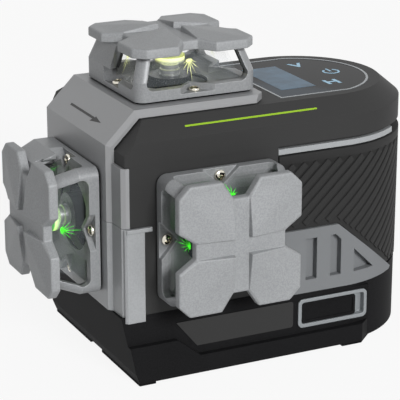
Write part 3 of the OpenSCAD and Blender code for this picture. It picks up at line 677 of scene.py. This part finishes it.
def rib_guides(sizes):
    """Slanting guide lines round the grip, clear of the vents and of the plain top band, in metres."""
    low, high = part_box("grip_sleeve")
    outer = high.y / MM
    middle = high.x / MM - outer
    start = low.x / MM + 0.8
    straight = middle - start
    total = 2 * straight + math.pi * outer
    bottom, top = low.z / MM + 1.0, high.z / MM - sizes.plain_band / MM
    depth = sizes.rib_rise / MM
    lean = math.radians(43)
    vent_top, rib_foot, vent_flat, vent_slope, vent_end = 54.6, 55.0, 55.6, 0.84, 87.5
    lead_in, extra, end_gap = 58, 60, 0.4

    def spot(s, z, r):
        if s < straight:
            return start + s, -r, z
        if s > total - straight:
            return start + total - s, r, z
        a = (s - straight) / outer
        return middle + r * math.sin(a), -r * math.cos(a), z

    def clear(s, z):
        x = spot(s, z, outer)[0]
        if z < vent_top and x < vent_flat:
            return False
        return z > rib_foot - max(0.0, x - vent_flat) * vent_slope or x > vent_end

    bm, step = bmesh.new(), 0.6
    pitch = sizes.rib_pitch / MM / math.sin(lean)
    count = int((total + extra) / pitch)
    for k in range(count):
        s0 = -lead_in + k * pitch
        run = []
        for i in range(int((top - bottom) / math.sin(lean) / step) + 2):
            s, z = s0 + i * step * math.cos(lean), bottom + i * step * math.sin(lean)
            inside = end_gap < s < total - end_gap and bottom <= z <= top and clear(s, z)
            if inside:
                run.append((s, z))
            if run and (not inside or i > (top - bottom) / math.sin(lean) / step):
                if len(run) > 6:
                    kept = run[::4] + ([run[-1]] if (len(run) - 1) % 4 else [])
                    verts = [bm.verts.new(spot(s, z, outer - depth / 2)) for s, z in kept]
                    for a, b in zip(verts, verts[1:]):
                        bm.edges.new((a, b))
                run = []
    return to_mesh(bm, "rib_guides", Matrix.Identity(4))


def sleeve_mesh(sizes):
    """The grip's own wall a rib's depth inside its outer face, made from a merged copy of its CAD mesh."""
    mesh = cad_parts["grip_sleeve"].data.copy()
    low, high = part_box("grip_sleeve")
    outer, depth = high.y, sizes.rib_rise * 0.8
    middle, band = high.x - outer, high.z - sizes.plain_band + 0.8 * MM
    bm = bmesh.new()
    bm.from_mesh(mesh)
    bmesh.ops.remove_doubles(bm, verts=bm.verts, dist=2e-6)
    geom = list(bm.verts) + list(bm.edges) + list(bm.faces)
    bmesh.ops.bisect_plane(bm, geom=geom, plane_co=(0, 0, band), plane_no=(0, 0, 1), dist=1e-7)
    geom = list(bm.verts) + list(bm.edges) + list(bm.faces)
    bmesh.ops.bisect_plane(bm, geom=geom, plane_co=(0, 0, band - 0.3 * MM), plane_no=(0, 0, 1), dist=1e-7)
    for v in bm.verts:
        if v.co.z < band - 0.1 * MM:
            round_part = v.co.x > middle
            away = Vector((v.co.x - middle if round_part else 0.0, v.co.y, 0.0))
            if away.length > outer - 0.4 * MM:
                v.co -= away.normalized() * depth
    bm.to_mesh(mesh)
    bm.free()
    return mesh


# ---------- settings ----------


def length(name, text, default):
    return FloatProperty(name=name, description=text, default=default, subtype="DISTANCE", unit="LENGTH")


def colour(name, text, code):
    return FloatVectorProperty(name=name, description=text, default=tone(code), size=4, subtype="COLOR",
                               min=0.0, max=1.0)


class LevelSizes(bpy.types.PropertyGroup):
    cap_rise: length("Cap rise", "Height of a cap's lobes over its channel at the centre", 0.0026)
    channel_width: length("Channel width", "Width of the cross channel in a cap", 0.0063)
    rib_width: length("Rib width", "Width of one grip rib", 0.0026)
    rib_pitch: length("Rib pitch", "Distance from one grip rib to the next, square to them", 0.0036)
    rib_rise: length("Rib rise", "Height of the ribs over the grooves", 0.0007)
    plain_band: length("Plain band", "Smooth band along the grip's top edge", 0.0042)
    screw_radius: length("Screw radius", "Radius of a head screw", 0.0023)
    stripe_width: length("Stripe width", "Width of the green pinstripe", 0.0008)


class LevelColours(bpy.types.PropertyGroup):
    cast_silver: colour("Cast silver", "Colour of the caps and head frames", "9c9ea0")
    moulded_black: colour("Moulded black", "Colour of the housing", "1b1b1c")
    grip_rubber: colour("Grip rubber", "Colour of the ribbed grip", "202021")
    stripe_green: colour("Stripe green", "Colour of the pinstripe", "97c022")
    display_blue: colour("Display blue", "Colour of the lit display", "5d86a4")


class LevelStage(bpy.types.PropertyGroup):
    lens: FloatProperty(name="Lens", description="Focal length of the camera in millimetres", default=162.0)
    key: FloatProperty(name="Key light", description="Strength of the sun from the front", default=2.6)
    fill: FloatProperty(name="Fill light", description="Strength of the world on matt surfaces", default=0.3)


# ---------- operators ----------


class LEVEL_OT_finishes(bpy.types.Operator):
    """Make every finish and put it on the CAD parts that stay as they are"""
    bl_idname = "level.finishes"
    bl_label = "Finishes"

    def execute(self, context):
        make_finishes(context.scene.level_colours)
        wanted = dict(CAD_FINISHES)
        for part, finish in HEAD_FINISHES.items():
            for head in HEADS:
                own = finish + "_" + head if finish in ("beam_glass", "head_silver") else finish
                wanted[part + "_" + head] = own
        missing = sorted(set(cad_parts) ^ set(wanted))
        if missing:
            raise RuntimeError("finishes and CAD parts differ: " + ", ".join(missing))
        for node, finish in wanted.items():
            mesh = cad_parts[node].data
            mesh.materials.clear()
            mesh.materials.append(finish_of(finish))
        return {"FINISHED"}


class LEVEL_OT_head_caps(bpy.types.Operator):
    """Build the three clover caps with their lobes and cross channel"""
    bl_idname = "level.head_caps"
    bl_label = "Head caps"

    def execute(self, context):
        for head in HEADS:
            name = "clover_cap_" + head
            mesh = cap_mesh(name, head_seat(head), context.scene.level_sizes)
            piece = new_piece(name, mesh, "cap_silver", sharp=22.0)
            mesh.materials.append(finish_of("gasket_black"))
            inwards = head_seat(head).to_3x3() @ Vector((0, 0, -1))
            for face in mesh.polygons:
                if len(face.vertices) > 40 and face.normal.dot(inwards) > 0.9:
                    face.material_index = 1
            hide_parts("head_cap_" + head)
        return {"FINISHED"}


class LEVEL_OT_lens_barrels(bpy.types.Operator):
    """Turn the stepped lens barrel of each beam unit"""
    bl_idname = "level.lens_barrels"
    bl_label = "Lens barrels"

    def execute(self, context):
        steps = [(0.0, -0.9), (3.9, -0.9), (4.1, -0.7), (4.1, 4.4), (3.9, 4.6), (3.9, 4.9), (4.1, 5.1),
                 (4.1, 6.3), (3.8, 6.5), (3.45, 6.5), (3.45, 7.0), (3.6, 7.15), (3.6, 8.2), (3.4, 8.45),
                 (2.9, 8.45), (2.7, 8.2), (2.6, 7.4), (2.1, 7.65), (1.4, 7.85), (0.7, 7.95), (0.0, 8.0)]
        for head in HEADS:
            bm = bmesh.new()
            turned(bm, steps, 48)
            name = "lens_barrel_" + head
            piece = new_piece(name, to_mesh(bm, name, head_seat(head)), "lens_metal", "pendulum")
            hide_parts("lens_cell_" + head)
        return {"FINISHED"}


class LEVEL_OT_beam_glare(bpy.types.Operator):
    """Light up the spot on each open pane where a beam leaves, with its fan of fine rays"""
    bl_idname = "level.beam_glare"
    bl_label = "Beam glare"

    def execute(self, context):
        rays = [(-68, 3.4), (-42, 5.0), (-18, 6.0), (0, 8.4), (20, 5.8), (44, 5.2), (70, 3.2)]
        slope, start, pane_foot, pane_low = 0.332, 13.6, 20.62, 5.05
        lean = math.atan(slope)
        for head in HEADS:
            bm = bmesh.new()
            for turn in (0, 90, 180, 270):
                place = (Matrix.Rotation(math.radians(turn), 4, "Z")
                         @ Matrix.Translation((pane_foot - (start - pane_low) * slope, 0, start))
                         @ Matrix.Rotation(-lean, 4, "Y"))
                fan = [Vector((0.02, 1.5 * math.sin(a), -0.75 * math.cos(a) - 0.2)) for a in
                       [2 * math.pi * k / 18 for k in range(18)]]
                bm.faces.new([bm.verts.new(place @ p) for p in fan])
                for angle, long in rays:
                    a = math.radians(angle)
                    tip = Vector((0.04, math.sin(a), -math.cos(a)))
                    side = Vector((0.0, math.cos(a), math.sin(a))) * 0.28
                    bm.faces.new([bm.verts.new(place @ p) for p in (side, tip * long, -side)])
            name = "beam_glare_" + head
            mesh = bpy.data.meshes.new(name)
            bm.transform(head_seat(head) @ Matrix.Scale(MM, 4))
            bm.to_mesh(mesh)
            bm.free()
            new_piece(name, mesh, "glare_warm" if head == "top" else "glare_green")
        return {"FINISHED"}


class LEVEL_OT_head_screws(bpy.types.Operator):
    """Set a pan-head screw on each ledge of the three heads"""
    bl_idname = "level.head_screws"
    bl_label = "Head screws"

    def execute(self, context):
        radius = context.scene.level_sizes.screw_radius / MM
        shape = screw_shape(radius, SCREW_HEAD)
        guide = bpy.data.meshes.new("screw_points")
        spots, ways = [], []
        for head in HEADS:
            seat = head_seat(head)
            for turn in (0, 90, 180, 270):
                spin = Matrix.Rotation(math.radians(turn), 4, "Z")
                at = spin @ Vector((SCREW_REACH * MM, 0, LEDGE_TOP * MM))
                spots.append(seat @ at)
                ways.append(seat.to_3x3() @ Vector((0, 0, 1)))
        guide.from_pydata(spots, [], [])
        outwards = guide.attributes.new("outwards", "FLOAT_VECTOR", "POINT")
        outwards.data.foreach_set("vector", [c for w in ways for c in w])
        mesh = grown("pan_screws", guide, screw_tree(),
                     {"Screw": shape, "Size": 1.0, "Seed": 7, "Finish": finish_of("screw_nickel")})
        bpy.data.objects.remove(shape)
        piece = new_piece("pan_screws", mesh, "screw_nickel", sharp=30.0)
        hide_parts(*["head_screws_" + h for h in HEADS])
        return {"FINISHED"}


class LEVEL_OT_grip(bpy.types.Operator):
    """Build the ribbed grip that wraps the right end"""
    bl_idname = "level.grip"
    bl_label = "Ribbed grip"

    def execute(self, context):
        sizes = context.scene.level_sizes
        sleeve = new_piece("grip_wall", sleeve_mesh(sizes), "grip_rubber", sharp=30.0)
        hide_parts("grip_sleeve")
        mesh = grown("grip_ribs", rib_guides(sizes), rib_tree(),
                     {"Rib width": sizes.rib_width, "Rib depth": sizes.rib_rise, "Edge radius": 0.00025,
                      "Finish": finish_of("grip_rubber")})
        new_piece("grip_ribs", mesh, "grip_rubber", sharp=50.0)
        return {"FINISHED"}


class LEVEL_OT_panel_signs(bpy.types.Operator):
    """Print the three touch signs on the control cover"""
    bl_idname = "level.panel_signs"
    bl_label = "Touch signs"

    def execute(self, context):
        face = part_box("control_panel")[1].z + 0.02 * MM
        for letter, x, y in (("V", 66.0, 15.0), ("H", 66.0, -15.0)):
            text = bpy.data.curves.new("sign_" + letter, "FONT")
            text.body, text.size, text.extrude, text.offset = letter, 9.5 * MM, 0.02 * MM, 0.25 * MM
            text.align_x, text.align_y = "CENTER", "CENTER"
            holder = bpy.data.objects.new("sign_text", text)
            context.scene.collection.objects.link(holder)
            context.view_layer.update()
            mesh = bpy.data.meshes.new_from_object(holder.evaluated_get(context.evaluated_depsgraph_get()))
            bpy.data.objects.remove(holder)
            mesh.transform(Matrix.Translation((x * MM, y * MM, face)) @ Matrix.Scale(0.9, 4, (0, 1, 0)))
            new_piece("sign_" + letter, mesh, "sign_blue")
        outer, inner, gap = 3.7, 2.8, 0.62
        arc = [gap + (2 * math.pi - 2 * gap) * k / 40 for k in range(41)]
        ring = [(outer * math.sin(a), outer * math.cos(a)) for a in reversed(arc)]
        ring += [(inner * math.sin(a), inner * math.cos(a)) for a in arc]
        bar = [(-0.45, 0.2), (0.45, 0.2), (0.45, 4.5), (-0.45, 4.5)]
        place = Matrix.Translation((74.0 * MM, 0.0, face))
        for name, outline in (("sign_power_ring", ring), ("sign_power_bar", bar)):
            flat_sign(name, outline, 0.04, place, "sign_blue")
        return {"FINISHED"}


class LEVEL_OT_pinstripe(bpy.types.Operator):
    """Print the green pinstripe along the front shoulder"""
    bl_idname = "level.pinstripe"
    bl_label = "Pinstripe"

    def execute(self, context):
        width = context.scene.level_sizes.stripe_width / MM
        low, high = Vector((0, -41.5, 97.6)), Vector((0, -33.5, 104.3))
        up = (high - low).normalized()
        out = Vector((1, 0, 0)).cross(up)
        x, y, z, long = -11.2 * MM, -37.4 * MM, 101.034 * MM, 57.2
        place = Matrix(((1, 0, 0, x), (0, up.y, out.y, y), (0, up.z, out.z, z), (0, 0, 0, 1)))
        outline = [(0, -width / 2), (long, -width / 2), (long + 0.3, 0), (long, width / 2), (0, width / 2)]
        flat_sign("green_pinstripe", outline, 0.08, place, "stripe_green")
        return {"FINISHED"}


class LEVEL_OT_arrow(bpy.types.Operator):
    """Print the plain direction arrow on the slanting face of the end frame"""
    bl_idname = "level.arrow"
    bl_label = "Direction arrow"

    def execute(self, context):
        turn = math.radians(45)
        along, up = Vector((0, -1, 0)), Vector((math.sin(turn), 0, math.sin(turn)))
        place = Matrix((along, up, along.cross(up))).transposed().to_4x4()
        place.translation = Vector((-36.6, 15.0, 100.0)) * MM
        outline = [(0, -0.5), (22.8, -0.5), (22.0, -1.7), (30.7, -0.15), (23.8, 1.1), (24.2, 0.5), (0, 0.5)]
        flat_sign("direction_arrow", outline, 0.05, place, "arrow_black")
        return {"FINISHED"}


class LEVEL_OT_stage(bpy.types.Operator):
    """Set up the floor, lamps, white surroundings and camera"""
    bl_idname = "level.stage"
    bl_label = "Studio"

    def execute(self, context):
        s = context.scene.level_stage
        mesh = bpy.data.meshes.new("studio_floor")
        r, z = 3.0, -0.02 * MM
        mesh.from_pydata([(-r, -r, z), (r, -r, z), (r, r, z), (-r, r, z)], [], [(0, 1, 2, 3)])
        floor = bpy.data.objects.new("studio_floor", mesh)
        context.scene.collection.objects.link(floor)
        floor.data.materials.append(self.floor_finish())
        self.surroundings(context, s.fill)
        lamp = bpy.data.lights.new("key", "SUN")
        lamp.energy, lamp.angle = s.key, math.radians(18)
        key = bpy.data.objects.new("key", lamp)
        towards_sun = Vector((0.04, -0.91, 0.41))
        key.rotation_euler = towards_sun.to_track_quat("Z", "Y").to_euler()
        context.scene.collection.objects.link(key)
        data = bpy.data.cameras.new("camera")
        data.lens, data.sensor_width, data.clip_start = s.lens, 36.0, 0.01
        camera = bpy.data.objects.new("camera", data)
        azimuth, elevation, roll = (math.radians(a) for a in (-25.92, 18.48, -0.04))
        ahead = Vector((-math.sin(azimuth) * math.cos(elevation), math.cos(azimuth) * math.cos(elevation),
                        -math.sin(elevation)))
        turn = ahead.to_track_quat("-Z", "Y").to_matrix() @ Matrix.Rotation(roll, 3, "Z")
        place = Vector((-293.5, -631.3, 291.2)) * MM
        camera.matrix_world = Matrix.Translation(place) @ turn.to_4x4()
        context.scene.collection.objects.link(camera)
        context.scene.camera = camera
        context.scene.view_settings.view_transform = "Standard"
        return {"FINISHED"}

    @staticmethod
    def floor_finish():
        """Pale floor: white to the camera with the object's shadow kept on it."""
        p = Paint("studio_floor")
        tree = p.tree
        seen = p.node("ShaderNodeLightPath", output="Is Camera Ray")
        gloss = p.node("ShaderNodeLightPath", output="Is Glossy Ray")
        through = p.node("ShaderNodeLightPath", output="Is Transmission Ray")
        matt = p.node("ShaderNodeBsdfDiffuse", {}, {"Color": (0.8, 0.8, 0.8, 1.0)})
        white = p.node("ShaderNodeEmission", {}, {"Color": (1.0, 1.0, 1.0, 1.0), "Strength": 1.0})
        share = (seen + gloss + through).clamped() * 0.9
        mixed = p.node("ShaderNodeMixShader", {}, {0: share, 1: matt, 2: white})
        out = tree.nodes.new("ShaderNodeOutputMaterial")
        tree.links.new(mixed.socket, out.inputs["Surface"])
        return p.material

    @staticmethod
    def surroundings(context, fill):
        """White to the camera, metal and glass; a soft level for matt surfaces, lower from above."""
        world = bpy.data.worlds.new("studio")
        world.use_nodes = True
        tree = world.node_tree
        tree.nodes.clear()
        p = Paint.__new__(Paint)
        p.tree = tree
        path = {n: p.node("ShaderNodeLightPath", output="Is " + n + " Ray")
                for n in ("Camera", "Glossy", "Transmission")}
        share = (path["Camera"] + path["Glossy"] + path["Transmission"]).clamped()
        way = p.node("ShaderNodeTexCoord", output="Generated")
        height = p.node("ShaderNodeSeparateXYZ", {}, {"Vector": way}, "Z")
        level = fill * (1.0 - height.ramp(0.2, 0.9) * 0.5)
        soft = p.node("ShaderNodeBackground", {}, {"Color": (1, 1, 1, 1), "Strength": level})
        white = p.node("ShaderNodeBackground", {}, {"Color": (1, 1, 1, 1), "Strength": 1.0})
        mixed = p.node("ShaderNodeMixShader", {}, {0: share, 1: soft, 2: white})
        out = tree.nodes.new("ShaderNodeOutputWorld")
        tree.links.new(mixed.socket, out.inputs["Surface"])
        context.scene.world = world


OPERATORS = (LEVEL_OT_finishes, LEVEL_OT_head_caps, LEVEL_OT_lens_barrels, LEVEL_OT_beam_glare,
             LEVEL_OT_head_screws, LEVEL_OT_grip, LEVEL_OT_panel_signs, LEVEL_OT_pinstripe,
             LEVEL_OT_arrow, LEVEL_OT_stage)


class LEVEL_PT_sidebar(bpy.types.Panel):
    """Settings and steps of the laser level"""
    bl_idname = "LEVEL_PT_sidebar"
    bl_label = "Laser level"
    bl_space_type = "VIEW_3D"
    bl_region_type = "UI"
    bl_category = "Laser level"

    def draw(self, context):
        for group in (context.scene.level_sizes, context.scene.level_colours, context.scene.level_stage):
            box = self.layout.box()
            for key in group.__annotations__:
                box.prop(group, key)
        for operator in OPERATORS:
            self.layout.operator(operator.bl_idname)


CLASSES = (LevelSizes, LevelColours, LevelStage) + OPERATORS + (LEVEL_PT_sidebar,)


def register():
    for cls in CLASSES:
        bpy.utils.register_class(cls)
    bpy.types.Scene.level_sizes = PointerProperty(type=LevelSizes)
    bpy.types.Scene.level_colours = PointerProperty(type=LevelColours)
    bpy.types.Scene.level_stage = PointerProperty(type=LevelStage)


def unregister():
    for key in ("level_sizes", "level_colours", "level_stage"):
        delattr(bpy.types.Scene, key)
    for cls in reversed(CLASSES):
        bpy.utils.unregister_class(cls)


def main():
    register()
    for operator in OPERATORS:
        getattr(bpy.ops.level, operator.bl_idname.split(".")[1])()


if __name__ == "__main__":
    main()
